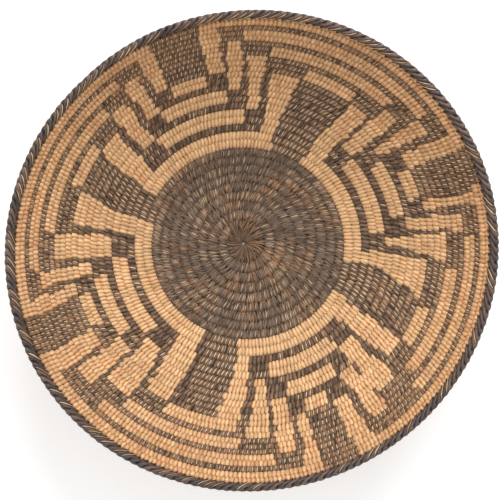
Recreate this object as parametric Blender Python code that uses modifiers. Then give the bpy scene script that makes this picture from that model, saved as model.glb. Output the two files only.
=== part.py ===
"""A coiled basket tray: a round bundle of split stems wound in one spiral, sewn with pale and dark splints.

The bundle starts at a small knot, lies flat under the base, and climbs into a shallow bowl that ends in a
braided rim. The dark sewing lies over it in a fourfold fret: a dark centre with four petals, three broken fret
lines and four blocks under the rim. Metres, +Z up. The tray stands on its base, and the origin is on the floor
under the middle of the rim.
"""

import math

import bmesh
import bpy
from mathutils import Vector

# Sizes in metres, angles in degrees
KNOT_RADIUS = 0.0095
KNOT_HEIGHT = 0.0066
KNOT_EDGE = 0.0012
PINHOLE_RADIUS = 0.0008
ROUND_AT_START = 0.0088
ROUND_AT_RIM = 0.0056
ROUNDS_TO_EASE = 13.0
BASE_ROUNDS = 9
WALL_ROUNDS = 22
SPLICE_ROUNDS = (7, 14)
FLAT_ROUNDS = 4.0
RIM_SLOPE = 54.0
OUT_OF_ROUND = 0.017
LONG_WAY = 25.0
BRAID_THICKNESS = 0.0066
SPLINT_LAYER = 0.0009
SPLINT_CROWN = 0.0007
ROUND_GAP = 0.0007
SEAT_GAP = 0.0003
STANDING_CUT = 0.1
TAPER_TIP = 0.3

# The fret, in degrees round the tray and in rounds of the wall
START_ANGLE = 135.0
PETAL_CENTRES = (158.0, 255.8, 341.9, 425.6)
BLOCK_CENTRES = (202.3, 295.2, 382.1, 470.4)
PETAL_WIDTH = 18.6
PETAL_ROUNDS = 11
FRET_LEG_OFFSETS = (24.4, 16.9, 11.2)
FRET_LEG_WIDTH = 2.1
FRET_LEG_ROUNDS = 12
FRET_STEP = 3
RIM_BLOCK_WIDTH = 11.2

LOOP_POINTS = 24
SHORT_STEPS = 8
BAND_ROUNDS = 3
FULL_TURN = 360.0
LAST_TURN = BASE_ROUNDS + WALL_ROUNDS
KNOT_SIDE = 0.5 - TAPER_TIP
LEVEL_RIM = LAST_TURN - 0.5
TABLE_STEPS = 96
WELD = 0.00001
SAME_LINE = 0.01
SMOOTH_UP_TO = 65.0

TAN_SPLINT = (0.50, 0.31, 0.145)
DARK_SPLINT = (0.055, 0.042, 0.036)
BLACK_SPLINT = (0.022, 0.019, 0.019)


def new_material(name, colour, roughness):
    """A plain finish."""
    material = bpy.data.materials.new(name)
    material.use_nodes = True
    shader = material.node_tree.nodes["Principled BSDF"]
    shader.inputs["Base Color"].default_value = (*colour, 1.0)
    shader.inputs["Roughness"].default_value = roughness
    shader.inputs["Metallic"].default_value = 0.0
    material.diffuse_color = (*colour, 1.0)
    return material


def round_pitch(turn):
    """Distance from one round to the next, which is widest at the start."""
    return ROUND_AT_RIM + (ROUND_AT_START - ROUND_AT_RIM) * math.exp(-turn / ROUNDS_TO_EASE)


def wall_slope(turn):
    """Steepness of the wall at a round: nothing under the base, and most at the rim."""
    climbing = max(0.0, turn - FLAT_ROUNDS) / (LAST_TURN - FLAT_ROUNDS)
    return math.radians(RIM_SLOPE) * math.sin(math.pi / 2 * min(1.0, climbing))


def bundle_thickness(turn, share=1.0):
    """Thickness of the sewn bundle, with the gap to the next round taken off."""
    return share * round_pitch(turn) - ROUND_GAP


def wind_profile():
    """Radius and rise of the bundle's centre line at every small step of the spiral."""
    radius = KNOT_RADIUS + SEAT_GAP - KNOT_SIDE * ROUND_AT_START
    rise = 0.0
    profile = []
    for step in range((LAST_TURN + 2) * TABLE_STEPS + 1):
        profile.append((radius, rise))
        turn = step / TABLE_STEPS
        length = round_pitch(turn) / TABLE_STEPS
        radius += length * math.cos(wall_slope(turn))
        rise += length * math.sin(wall_slope(turn))
    return profile


PROFILE = wind_profile()


def on_wall(turn, height=0.0):
    """Radius and height of a point of the wall, so far in from the middle of the bundle."""
    place = turn * TABLE_STEPS
    before = int(place)
    part = place - before
    radius = PROFILE[before][0] * (1 - part) + PROFILE[before + 1][0] * part
    rise = PROFILE[before][1] * (1 - part) + PROFILE[before + 1][1] * part
    slope = wall_slope(turn)
    floor = (0.5 - STANDING_CUT) * bundle_thickness(turn)
    return radius - height * math.sin(slope), floor + rise + height * math.cos(slope)


def stretch(angle, turn):
    """How much further out than a true circle a round lies: the tray is a little longer one way."""
    return 1 + OUT_OF_ROUND * turn / LAST_TURN * math.cos(2 * math.radians(angle - LONG_WAY))


def on_tray(angle, turn, height=0.0):
    """A point of the tray. The loops have straight sides, so between two corners a point lies on the side."""
    side = FULL_TURN / LOOP_POINTS
    radius, up = on_wall(turn, height)
    past_corner = (angle - START_ANGLE) % side
    corner = angle - past_corner
    before = Vector((math.cos(math.radians(corner)), math.sin(math.radians(corner)))) * stretch(corner, turn)
    corner += side
    after = Vector((math.cos(math.radians(corner)), math.sin(math.radians(corner)))) * stretch(corner, turn)
    share = math.radians(past_corner)
    share = math.sin(share) / (math.sin(share) + math.sin(math.radians(side) - share))
    place = radius * before.lerp(after, share)
    return Vector((place.x, place.y, up))


def taper(turn):
    """Share of its full thickness that the bundle has: thin where it starts and where it ends at the rim."""
    started = min(1.0, TAPER_TIP + (1 - TAPER_TIP) * turn)
    ended = 1.0 - (1 - TAPER_TIP) * max(0.0, turn - (LAST_TURN - 1))
    return started, ended


def bundle_point(turn):
    """Centre and thickness of the bundle at a turn. Where it is thin it keeps to its neighbour's side."""
    started, ended = taper(turn)
    share = started * ended
    middle = turn + 0.5 * (1 - started) - 0.5 * (1 - ended)
    angle = START_ANGLE + FULL_TURN * turn
    return on_tray(angle, middle), bundle_thickness(middle, share), wall_slope(middle)


def add_object(name, mesh, material):
    """Puts a mesh into the tray's collection under its name."""
    piece = bpy.data.objects.new(name, mesh)
    tray.objects.link(piece)
    mesh.materials.clear()
    mesh.materials.append(material)
    return piece


def wind_bundle(name, first, last, material):
    """One unbroken length of bundle, wound from one turn to another, half a seat gap short at each end."""
    turns = [corner / LOOP_POINTS for corner in range(LAST_TURN * LOOP_POINTS)]
    turns = [turn for turn in turns if first < turn < last]
    first += SEAT_GAP / 2 / (2 * math.pi * on_wall(first)[0])
    last -= SEAT_GAP / 2 / (2 * math.pi * on_wall(last)[0])
    turns = [first] + turns + [last]
    curve = bpy.data.curves.new(name, "CURVE")
    curve.dimensions = "3D"
    curve.twist_mode = "Z_UP"
    curve.bevel_depth = ROUND_AT_START / 2
    curve.bevel_resolution = 1
    curve.use_fill_caps = True
    spline = curve.splines.new("POLY")
    spline.points.add(len(turns) - 1)
    for point, turn in zip(spline.points, turns):
        centre, thickness, slope = bundle_point(turn)
        point.co = (*centre, 1.0)
        point.radius = thickness / ROUND_AT_START
        point.tilt = -slope
    source = bpy.data.objects.new(name + "_line", curve)
    tray.objects.link(source)
    mesh = bpy.data.meshes.new_from_object(source.evaluated_get(bpy.context.evaluated_depsgraph_get()))
    bpy.data.objects.remove(source)
    soft = bmesh.new()
    soft.from_mesh(mesh)
    bmesh.ops.remove_doubles(soft, verts=soft.verts, dist=WELD)
    for vert in soft.verts:
        vert.co.z = max(vert.co.z, 0.0)
    soft.to_mesh(mesh)
    soft.free()
    piece = add_object(name, mesh, material)
    mesh.shade_smooth()
    mesh.set_sharp_from_angle(angle=math.radians(SMOOTH_UP_TO))
    return piece


def least_gap_in_winding():
    """Least clear distance between neighbouring rounds of the whole spiral, measured on its points."""
    least = 1.0
    corners = LAST_TURN * LOOP_POINTS
    points = [bundle_point(corner / LOOP_POINTS) for corner in range(corners + 1)]
    for here in range(corners + 1 - LOOP_POINTS + 1):
        for there in range(here + LOOP_POINTS - 1, min(here + LOOP_POINTS + 2, corners + 1)):
            apart = (points[here][0] - points[there][0]).length
            least = min(least, apart - points[here][1] / 2 - points[there][1] / 2)
    return least


def tie_knot(material):
    """The start knot: a low turned button with a pinhole in the middle."""
    mesh = bpy.data.meshes.new("start_knot")
    drawn = bmesh.new()
    outline = [
        (PINHOLE_RADIUS, 0.0),
        (KNOT_RADIUS - KNOT_EDGE, 0.0),
        (KNOT_RADIUS, KNOT_EDGE),
        (KNOT_RADIUS, KNOT_HEIGHT - 2 * KNOT_EDGE),
        (KNOT_RADIUS - KNOT_EDGE, KNOT_HEIGHT - KNOT_EDGE / 2),
        (KNOT_RADIUS / 2, KNOT_HEIGHT),
        (PINHOLE_RADIUS, KNOT_HEIGHT - KNOT_EDGE / 2),
    ]
    ring = [drawn.verts.new((radius, 0.0, up)) for radius, up in outline]
    edges = [drawn.edges.new((ring[at - 1], ring[at])) for at in range(len(ring))]
    bmesh.ops.spin(drawn, geom=ring + edges, cent=(0, 0, 0), axis=(0, 0, 1), angle=2 * math.pi,
                   steps=LOOP_POINTS, use_merge=True)
    bmesh.ops.remove_doubles(drawn, verts=drawn.verts, dist=WELD)
    bmesh.ops.recalc_face_normals(drawn, faces=drawn.faces)
    drawn.to_mesh(mesh)
    drawn.free()
    mesh.shade_smooth()
    mesh.set_sharp_from_angle(angle=math.radians(SMOOTH_UP_TO))
    return add_object("start_knot", mesh, material)


def braid_rim(material):
    """The braided edge that closes the rim: a ring that sits on the bundle's tapered end."""
    middle = LEVEL_RIM + TAPER_TIP + (SEAT_GAP + BRAID_THICKNESS / 2) / round_pitch(LAST_TURN)
    radius, up = on_wall(middle)
    bpy.ops.mesh.primitive_torus_add(
        major_segments=LOOP_POINTS, minor_segments=SHORT_STEPS,
        major_radius=radius, minor_radius=BRAID_THICKNESS / 2)
    ring = bpy.context.object
    mesh = ring.data
    bpy.data.objects.remove(ring)
    mesh.name = "rim_braid"
    for vert in mesh.vertices:
        angle = math.degrees(math.atan2(vert.co.y, vert.co.x))
        vert.co.xy *= stretch(angle, middle)
    mesh.shade_smooth()
    piece = add_object("rim_braid", mesh, material)
    piece.location.z = up
    return piece


def splint_height(turn, rounds):
    """Height of the top of a splint layer over the middle of the bundle, highest along the crown of a round."""
    crown = (1 - math.cos(2 * math.pi * rounds)) / 2
    return layer_foot(turn) + SPLINT_LAYER + SPLINT_CROWN * crown


def layer_foot(turn):
    """Height of the underside of a splint layer over the middle of the bundle, whose top is a flat."""
    return bundle_thickness(turn) / 2 * math.cos(math.pi / 6) + SEAT_GAP


def turn_at(angle, rounds):
    """Turn of the spiral at an angle and at so many rounds out from the base's last one."""
    return BASE_ROUNDS - 0.5 + rounds + (angle - START_ANGLE) / FULL_TURN


def sew_centre(material):
    """The dark sewing of the base: an open sheet along the spiral with a crown on each round, made thick."""
    half_rounds = 2 * BASE_ROUNDS
    sewn = bmesh.new()
    bmesh.ops.create_grid(sewn, x_segments=LOOP_POINTS, y_segments=half_rounds, size=0.5)
    for vert in sewn.verts:
        angle = START_ANGLE + FULL_TURN * (vert.co.x + 0.5)
        rounds = round((vert.co.y - 0.5) * half_rounds) / 2
        turn = max(KNOT_SIDE, turn_at(angle, rounds))
        rise = min(1.0, 2 * (turn - KNOT_SIDE))
        height = layer_foot(turn) + SPLINT_LAYER
        height += rise * (splint_height(turn, rounds) - height)
        vert.co = on_tray(angle, turn, height)
    bmesh.ops.remove_doubles(sewn, verts=sewn.verts, dist=WELD)
    bmesh.ops.recalc_face_normals(sewn, faces=sewn.faces)
    mesh = bpy.data.meshes.new("dark_centre_sewing")
    sewn.to_mesh(mesh)
    sewn.free()
    piece = add_object("dark_centre_sewing", mesh, material)
    thick = piece.modifiers.new("layer", "SOLIDIFY")
    thick.thickness = SPLINT_LAYER
    thick.offset = -1.0
    return piece


def corner_angles(first, last):
    """Angles of the loops' corners between two angles."""
    side = FULL_TURN / LOOP_POINTS
    start = math.ceil((first - START_ANGLE) / side)
    end = math.floor((last - START_ANGLE) / side)
    return [START_ANGLE + side * corner for corner in range(start, end + 1)]


def sew_patch(name, areas, material):
    """One patch of sewing, drawn flat from areas of (angle, angle, round, round), then laid on the wall."""
    angles = sorted({edge for area in areas for edge in area[:2]})
    rounds = sorted({edge for area in areas for edge in area[2:]})
    corners = corner_angles(angles[0], angles[-1])
    columns = [corner for corner in corners if min(abs(corner - edge) for edge in angles) > SAME_LINE]
    rows = []
    for low, high in zip(rounds, rounds[1:]):
        rows += range(low + BAND_ROUNDS, high, BAND_ROUNDS)
    sewn = bmesh.new()
    bmesh.ops.create_grid(sewn, x_segments=1, y_segments=1, size=0.5)
    for vert in sewn.verts:
        vert.co.x = angles[0] if vert.co.x < 0 else angles[-1]
        vert.co.y = rounds[0] if vert.co.y < 0 else rounds[-1]
    for cut in angles[1:-1] + columns:
        bmesh.ops.bisect_plane(sewn, geom=sewn.verts[:] + sewn.edges[:] + sewn.faces[:], dist=WELD,
                               plane_co=(cut, 0, 0), plane_no=(1, 0, 0))
    for cut in rounds[1:-1] + rows:
        bmesh.ops.bisect_plane(sewn, geom=sewn.verts[:] + sewn.edges[:] + sewn.faces[:], dist=WELD,
                               plane_co=(0, cut, 0), plane_no=(0, 1, 0))
    bare = []
    for face in sewn.faces:
        middle = face.calc_center_median()
        if not any(a < middle.x < b and c < middle.y < d for a, b, c, d in areas):
            bare.append(face)
    bmesh.ops.delete(sewn, geom=bare, context="FACES")
    grown = bmesh.ops.extrude_face_region(sewn, geom=sewn.faces[:], use_keep_orig=True)
    raised = [grown_part for grown_part in grown["geom"] if isinstance(grown_part, bmesh.types.BMVert)]
    bmesh.ops.translate(sewn, vec=(0, 0, 1), verts=raised)
    bmesh.ops.recalc_face_normals(sewn, faces=sewn.faces)
    for tall in range(1, BAND_ROUNDS + 1):
        along = []
        for edge in sewn.edges:
            one, other = (vert.co for vert in edge.verts)
            if one.z > 0.5 and other.z > 0.5 and abs(abs(one.y - other.y) - tall) < SAME_LINE:
                along.append(edge)
        bmesh.ops.subdivide_edges(sewn, edges=along, cuts=2 * tall - 1, use_grid_fill=True)
    for vert in sewn.verts:
        angle, out, layer = vert.co
        turn = turn_at(angle, out)
        turn = min(turn, LEVEL_RIM - SEAT_GAP / round_pitch(turn))
        turn = max(turn, turn_at(angle, 0) + SEAT_GAP / round_pitch(turn))
        vert.co = on_tray(angle, turn, splint_height(turn, out) if layer > 0.5 else layer_foot(turn))
    bmesh.ops.reverse_faces(sewn, faces=sewn.faces)
    mesh = bpy.data.meshes.new(name)
    sewn.to_mesh(mesh)
    sewn.free()
    return add_object(name, mesh, material)


def fret_areas(low_angle, middle, high_angle, line):
    """Areas of one fret line in the quarter between two petals' middles: an arc, two legs and two strips."""
    inner = FRET_LEG_OFFSETS[line - 1] - FRET_LEG_WIDTH / 2
    outer = FRET_LEG_OFFSETS[line - 1] + FRET_LEG_WIDTH / 2
    foot = FRET_STEP * line - 1
    top = foot + FRET_LEG_ROUNDS
    clear = math.degrees(SEAT_GAP / 2 / on_wall(BASE_ROUNDS + foot)[0])
    return [
        (middle - inner, middle + inner, foot, foot + 1),
        (middle - outer, middle - inner, foot, top),
        (middle + inner, middle + outer, foot, top),
        (low_angle + clear, middle - outer, top - 1, top),
        (middle + outer, high_angle - clear, top - 1, top),
    ]


# The tray
for old in list(bpy.data.objects):
    bpy.data.objects.remove(old)
tray = bpy.data.collections.new("coiled_basket_tray")
bpy.context.scene.collection.children.link(tray)

tan = new_material("pale splint sewing", TAN_SPLINT, 0.75)
dark = new_material("dark splint sewing", DARK_SPLINT, 0.7)
black = new_material("dark splint braid", BLACK_SPLINT, 0.6)

tie_knot(dark)
splices = [BASE_ROUNDS + rounds + 0.5 / LOOP_POINTS for rounds in (0, *SPLICE_ROUNDS)]
wind_bundle("base_coil", 0, splices[0], tan)
wind_bundle("lower_wall_coil", splices[0], splices[1], tan)
wind_bundle("middle_wall_coil", splices[1], splices[2], tan)
wind_bundle("upper_wall_coil", splices[2], LAST_TURN, tan)
braid_rim(black)
sew_centre(dark)

for quarter in range(4):
    petal = PETAL_CENTRES[quarter]
    following = PETAL_CENTRES[quarter + 1] if quarter < 3 else PETAL_CENTRES[0] + FULL_TURN
    block = BLOCK_CENTRES[quarter]
    half_petal = PETAL_WIDTH / 2
    half_block = RIM_BLOCK_WIDTH / 2
    sew_patch(f"dark_petal_{quarter + 1}", [(petal - half_petal, petal + half_petal, 0, PETAL_ROUNDS)], dark)
    top = round(LEVEL_RIM - turn_at(block, 0))
    block_area = (block - half_block, block + half_block, PETAL_ROUNDS, top)
    sew_patch(f"dark_rim_block_{quarter + 1}", [block_area], dark)
    for line in range(1, 4):
        sew_patch(f"fret_line_{line}_quarter_{quarter + 1}", fret_areas(petal, block, following, line), dark)

print(f"least gap between rounds of the bundle: {least_gap_in_winding() * 1000:.3f} mm")
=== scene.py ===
"""A coiled tray, stitch by stitch: a spiral bundle sewn with pale and dark splints, and a braided rim."""

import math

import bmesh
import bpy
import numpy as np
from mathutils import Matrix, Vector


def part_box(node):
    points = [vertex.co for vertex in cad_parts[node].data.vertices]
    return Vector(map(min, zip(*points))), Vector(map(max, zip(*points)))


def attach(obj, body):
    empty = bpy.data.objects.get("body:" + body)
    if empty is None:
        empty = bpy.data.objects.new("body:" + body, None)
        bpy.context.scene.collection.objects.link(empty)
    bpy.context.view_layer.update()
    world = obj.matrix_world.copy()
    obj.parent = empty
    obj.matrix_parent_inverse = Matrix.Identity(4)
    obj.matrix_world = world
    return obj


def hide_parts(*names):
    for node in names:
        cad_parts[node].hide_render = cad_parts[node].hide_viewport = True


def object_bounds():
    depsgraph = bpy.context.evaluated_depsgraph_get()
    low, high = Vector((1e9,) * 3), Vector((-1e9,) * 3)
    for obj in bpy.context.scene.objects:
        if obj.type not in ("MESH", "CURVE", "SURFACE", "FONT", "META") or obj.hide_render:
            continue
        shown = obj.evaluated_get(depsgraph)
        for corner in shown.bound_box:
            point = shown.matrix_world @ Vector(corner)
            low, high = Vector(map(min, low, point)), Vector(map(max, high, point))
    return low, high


bl_info = {
    "name": "Coiled basket tray",
    "version": (1, 0, 0),
    "blender": (4, 5, 0),
    "location": "3D View > Sidebar > Coiled Tray",
    "description": "Sews a coiled tray with a fourfold fret round its packed frame",
    "category": "Add Mesh",
}

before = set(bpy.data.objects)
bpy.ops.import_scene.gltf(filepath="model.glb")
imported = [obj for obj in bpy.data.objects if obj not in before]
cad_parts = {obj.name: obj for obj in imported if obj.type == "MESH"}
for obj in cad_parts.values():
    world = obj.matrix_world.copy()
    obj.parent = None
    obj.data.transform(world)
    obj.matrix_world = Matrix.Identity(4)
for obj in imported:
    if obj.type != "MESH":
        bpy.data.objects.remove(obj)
CAD_BOX = [list(corner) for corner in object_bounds()]

FULL_TURN = 360.0
SAME_POINT = 0.000001

# The winding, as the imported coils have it
KNOT_LOW, KNOT_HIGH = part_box("start_knot")
BRAID_LOW, BRAID_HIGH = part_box("rim_braid")
SEAT_GAP = 0.0003
TAPER_TIP = 0.3

# The table that the winding is read from: steps in a round, and rounds inside the knot and past the rim
TABLE_STEPS = 96
INNER_TURNS = 2
OUTER_TURNS = 2

# Shares of the last round over which its edge rises under the braid, and falls where the bundle runs out
RIM_RISES_OVER = 0.12
RIM_FALLS_OVER = 0.06

# Rounds over which the knot's place aside is made good, and how the rim and the middle leave the true round
ASIDE_ROUNDS = 8.0
RIM_OVAL_POWER = 6
MIDDLE_LONG_WAY = -10.0
MIDDLE_OVAL_FALLS_OVER = 0.18

# The bundle: its steps in a round, its sides, and its half width and half height in rounds
BUNDLE_STEPS = 96
BUNDLE_SIDES = 8
BUNDLE_HALF_WIDTH = 0.5
BUNDLE_HALF_HEIGHT = 0.42

# The fret. A light line is an arc of two rounds, two legs of nine rounds and a strip of two rounds. Its rows
# step on at one angle up to the jog's round, and at another past it
LINE_STEP = 3
ARC_ROUNDS = 2
LEG_ROUNDS = 9
FRET_ROUNDS = 22
JOG_ROUND = 11
LOW_JOG_ANGLE = 158.3
HIGH_JOG_ANGLE = 109.5

# Where each light arc begins and ends, in degrees, one row a line and one pair a quarter
LIGHT_ARCS = (
    ((166.2, 246.5), (266.8, 332.0), (351.0, 415.0), (434.5, 510.3)),
    ((185.7, 223.2), (281.2, 312.0), (364.5, 397.5), (449.5, 490.0)),
    ((192.3, 216.2), (286.5, 306.0), (370.0, 390.5), (455.7, 482.3)),
    ((197.5, 209.0), (290.7, 298.8), (374.5, 384.5), (462.3, 474.8)),
)

# Legs of the light lines: first and last degree at the top, then at the foot, two legs a quarter
LIGHT_LEGS = (
    ((162.3, 173.3, 166.2, 175.0), (236.0, 244.8, 234.7, 246.3),
     (260.8, 269.0, 267.0, 273.0), (321.8, 328.5, 321.8, 330.2),
     (342.8, 354.8, 351.3, 356.5), (406.0, 412.5, 406.0, 414.8),
     (431.5, 440.3, 434.5, 441.0), (498.3, 507.2, 501.0, 509.7)),
    ((176.4, 184.8, 176.4, 184.8), (224.5, 233.6, 224.5, 232.5),
     (270.5, 277.3, 274.5, 279.5), (312.3, 319.0, 312.3, 319.0),
     (355.0, 363.0, 358.7, 361.7), (398.7, 403.5, 398.0, 404.5),
     (443.0, 448.5, 444.0, 448.7), (490.0, 496.3, 490.0, 496.3)),
    ((188.0, 192.3, 186.7, 191.2), (217.0, 222.7, 217.0, 222.7),
     (279.3, 284.5, 280.3, 285.0), (306.7, 311.7, 306.7, 311.7),
     (363.3, 367.7, 365.0, 368.7), (391.0, 395.3, 392.3, 395.5),
     (450.5, 455.0, 450.5, 455.0), (482.3, 487.3, 482.3, 487.3)),
    ((195.3, 199.2, 193.0, 196.8), (209.2, 215.3, 209.2, 215.3),
     (286.0, 289.5, 286.8, 290.0), (299.0, 304.3, 299.0, 304.3),
     (369.5, 372.5, 370.7, 373.3), (382.8, 388.0, 384.3, 389.3),
     (456.7, 462.0, 456.7, 462.0), (475.5, 480.3, 475.5, 480.3)),
)

# Where each light strip begins and ends, in degrees
LIGHT_STRIPS = (
    ((244.7, 268.0), (328.5, 340.3), (412.5, 430.0), (147.0, 160.7)),
    ((233.5, 269.0), (323.0, 353.0), (404.0, 442.0), (135.5, 176.3)),
    ((228.5, 278.5), (320.0, 362.0), (395.3, 449.5), (127.5, 187.3)),
    ((209.0, 290.2), (299.0, 374.0), (384.0, 462.0), (115.5, 199.0)),
)

# One stitch, from the outer valley over the inner face to where it bites the round before, and back outside.
# Each point is across the round in rounds, off its middle in rounds, and a share of the splint's width
STITCH_PATH = (
    (0.50, 0.16, 0.78),
    (0.40, 0.34, 0.95),
    (0.16, 0.47, 1.00),
    (-0.12, 0.49, 1.00),
    (-0.36, 0.42, 1.00),
    (-0.55, 0.35, 0.80),
    (-0.76, 0.20, 0.36),
    (-0.76, -0.20, 0.36),
    (-0.55, -0.35, 0.80),
    (-0.36, -0.42, 1.00),
    (-0.12, -0.49, 1.00),
    (0.16, -0.47, 1.00),
    (0.40, -0.34, 1.00),
)
PATH_POINTS = len(STITCH_PATH)

# A splint's section: its crown, right edge and left edge. Each is a place sideways, a height, and the number
# across the splint that the finish reads
SECTION = ((0.0, 1.0, 0.5), (1.0, 0.0, 1.0), (-1.0, 0.0, 0.0))
SECTION_POINTS = len(SECTION)

# The least step along a splint's path and the least radius that it is worked out with
LEAST_STEP = 1e-7
LEAST_RADIUS = 0.0004

# How wide the broad stitches of the dark centre are at each point of a stitch's path
CENTRE_WIDTHS = (0.98, 1.0, 1.0, 1.0, 1.0, 0.95, 0.6, 0.6, 0.95, 1.0, 1.0, 1.0, 1.0)

# How wide a pale sliver between two dark stitches is at each point of a stitch's path
SLIVER_WIDTHS = (0.04, 0.12, 0.85, 1.0, 0.65, 0.1, 0.04, 0.04, 0.1, 0.65, 1.0, 0.85, 0.12)

# How much of its lean a stitch has from row to row of the fret
LEAN_ROWS = (0.0, 1.0, 2.0, 9.0, 14.0, 22.0)
LEAN_SHARES = (0.9, 0.5, 0.7, 1.3, 0.7, 0.4)

# One of the long stitches that meet in the middle, from the first round's outer valley to the pinhole and
# back under. Each point is a share of the way in, and off the middle in rounds. The pinhole's wall is given
# as a turn
KNOT_PATH = (
    (0.00, 0.06),
    (0.04, 0.30),
    (0.14, 0.46),
    (0.34, 0.50),
    (0.58, 0.46),
    (0.82, 0.42),
    (1.00, 0.34),
    (1.00, -0.34),
    (0.82, -0.42),
    (0.58, -0.46),
    (0.34, -0.50),
    (0.14, -0.46),
    (0.04, -0.30),
)
PINHOLE_WALL = -0.75

# The knot's core, from the pinhole outwards: shares of the knot's radius and of the first round's height
CORE_SECTION = (
    (0.12, -0.28), (0.12, 0.28), (0.5, 0.38), (0.9, 0.36),
    (1.5, 0.1), (1.5, -0.1), (0.9, -0.36), (0.5, -0.38),
)
CORE_STEPS = 32

# One strand of the braid, from the rim's outer side over its top to the inner side and back under. Each point
# is an angle round the rim's section, a place along the rim as a share of the strand's reach, a share of its
# width, and how far it stands off, as a share of the braid's radius. The strand's tip points down the wall
BRAID_PATH = (
    (-25.0, -0.92, 1.08, 1.00),
    (5.0, -1.00, 1.08, 1.00),
    (32.0, -0.80, 1.04, 1.00),
    (60.0, -0.48, 1.00, 1.00),
    (88.0, -0.12, 1.00, 1.00),
    (114.0, 0.24, 0.94, 1.10),
    (136.0, 0.62, 0.66, 1.50),
    (152.0, 1.06, 0.20, 2.20),
    (190.0, 1.05, 0.25, 1.20),
    (230.0, 0.65, 0.75, 1.00),
    (262.0, 0.10, 1.00, 1.00),
    (290.0, -0.40, 1.00, 1.00),
    (315.0, -0.75, 1.06, 1.00),
)

# How wide a pale sliver between two strands is at each point of the same path
BRAID_SLIVER_WIDTHS = (0.05, 0.1, 0.7, 1.0, 1.0, 0.85, 0.4, 0.05, 0.05, 0.05, 0.05, 0.05, 0.05)

# Where the figures of the fret lie, in degrees
QUARTER_STARTS = (147.5, 246.5, 332.0, 415.0)
PETAL_CENTRES = (158.3, 256.7, 341.5, 424.7)
BLOCK_CENTRES = (204.0, 296.0, 380.5, 469.5)
FIGURE_HALF_WIDTH = 9.5

# How likely a dark stitch leaves a pale sliver beside it, by where it lies
BLOCK_CHANCE = 0.95
PETAL_CHANCE = 0.92
UPPER_CHANCE = 0.9
LOWER_CHANCE = (0.3, 0.3)
CENTRE_CHANCE = (0.18, 0.24)

# How far stitches stray from the even lay, how full their colour is, and how wide they are against their
# spacing. The centre's widths spread up from the least, and its crown is a share of a dark splint's
CENTRE_STRAY, FRET_STRAY, PALE_STRAY, SLIVER_STRAY = 0.45, 0.15, 0.1, 0.08
CENTRE_FULLNESS, FRET_FULLNESS, CENTRE_SLIVER_FULLNESS = 0.95, 0.86, 0.76
CENTRE_WIDTH, PALE_WIDTH, CENTRE_SLIVER_WIDTH = (1.3, 0.8), 1.28, 0.8
WIDTH_BESIDE_SLIVER, WIDTH_ALONE = 0.95, 1.15
CENTRE_CROWN = 0.6

# How one stitch varies: its place across in rounds and around in stitches, its lean from patch to patch, and
# its width and crown, each a least share and a spread. Where the bundle is thin, it flattens by the power
ACROSS_SPREAD = 0.07
AROUND_SPREAD = 0.6
PATCHY_LEAN = 0.2
STITCH_WIDTH = (0.94, 0.12)
STITCH_CROWN = (0.8, 0.4)
THIN_BUNDLE_POWER = 0.7

# How the colour varies from stitch to stitch and in patches: for an even lay, and more where stitches stray.
# Towards the rim the upper rows of the fret grow a little darker, and all but the lowest grow warmer
TONE_BY_STITCH = (0.12, 0.25)
TONE_BY_PATCH = (0.05, 0.12)
WARMTH_BY_PATCH = (0.08, 0.3)
TONE_FALL, TONE_FALL_FROM = 0.005, 12
WARMTH, WARMTH_BY_STITCH = 0.3, 0.5
WARMTH_RISE, WARMTH_RISE_FROM, WARMTH_RISE_LEAST = 0.028, 11, -7

# Slow changes over the tray are sums of this many waves, with how fast each turns and how large it is
DRIFT_WAVES = 4
DRIFT_TURN = (0.3, 1.4)
DRIFT_SIZE = (0.2, 0.3)

# How the knot's long stitches vary: where they start past their turn, how high they lie, how far they swing
# round in degrees, and their width, crown, tone and warmth
KNOT_START = (0.4, 0.25)
KNOT_HEIGHTS = (0.94, 0.08)
KNOT_SWING = (2.0, 34.0)
KNOT_WIDTH = (1.0, 0.8)
KNOT_LEAST_WIDTH = 0.0002
KNOT_CROWN = (0.7, 0.6)
KNOT_FULL_CROWN_WIDTH = 0.001
KNOT_TONE = (0.74, 0.36)
KNOT_WARMTH = 0.6

# The braid: how far a strand's middle stands over its edges, its core's share and steps, and how strands vary
STRAND_CROWN = 0.0010
BRAID_CORE_SHARE = 0.88
BRAID_CORE_STEPS = 360
STRAND_SPREAD = 0.12
STRAND_REACH = (0.94, 0.12)
STRAND_WIDTH = (0.92, 0.16)
STRAND_CROWNS = (0.85, 0.2)
STRAND_TONE = (0.85, 0.3)

# The side of the rim where most strands show a pale sliver, in degrees, and how much more there
WORN_SIDE = 150.0
WORN_SIDE_SHARE = 0.4

# How far a point moves right and up for each metre that it stands above the knot, where the angles are read
READ_ASIDE = (0.067, -0.057)

# The seed, and one draw of random numbers for each purpose. A quarter's draw follows the first quarter's
SEED = 31
KNOT_DRAW = 20
CENTRE_DRAW = 30
CENTRE_WIDTH_DRAW = 31
FRET_DRAW = 40
PALE_DRAW = 50
SLIVER_DRAW = 60
CLUSTER_DRAW = 70
SLIVER_CHOICE_DRAW = 71
STRAND_DRAW = 80
BRAID_CHOICE_DRAW = 83
BRAID_SLIVER_DRAW = 84
WARMTH_DRAW_AFTER = 5

# Grains of a splint: scale across and along it, how far apart unlike splints lie in the noise, and its detail
STREAKS = (2.2, 3.0, 311.0, 173.0, 4.0)
BLOTCHES = (0.8, 7.0, 97.0, 53.0, 1.0)
HAIRS = (9.0, 9.0, 211.0, 131.0, 2.0)

# Where each change in a splint's finish begins and ends, in what it follows. The edge, valley and pit bands
# place the painted shade at a splint's edges, in the valleys between rounds and in the pits between stitches
EDGE_BAND = (0.6, 1.0)
VALLEY_BAND = (0.2, 1.0)
PIT_BAND = (0.1, 0.36)
STAIN_BAND = (0.5, 0.72)
AGED_BAND = (0.4, 1.1)
FIBRE_BAND = (0.36, 0.64)
ROUGH_BAND = (0.25, 1.0)

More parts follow.
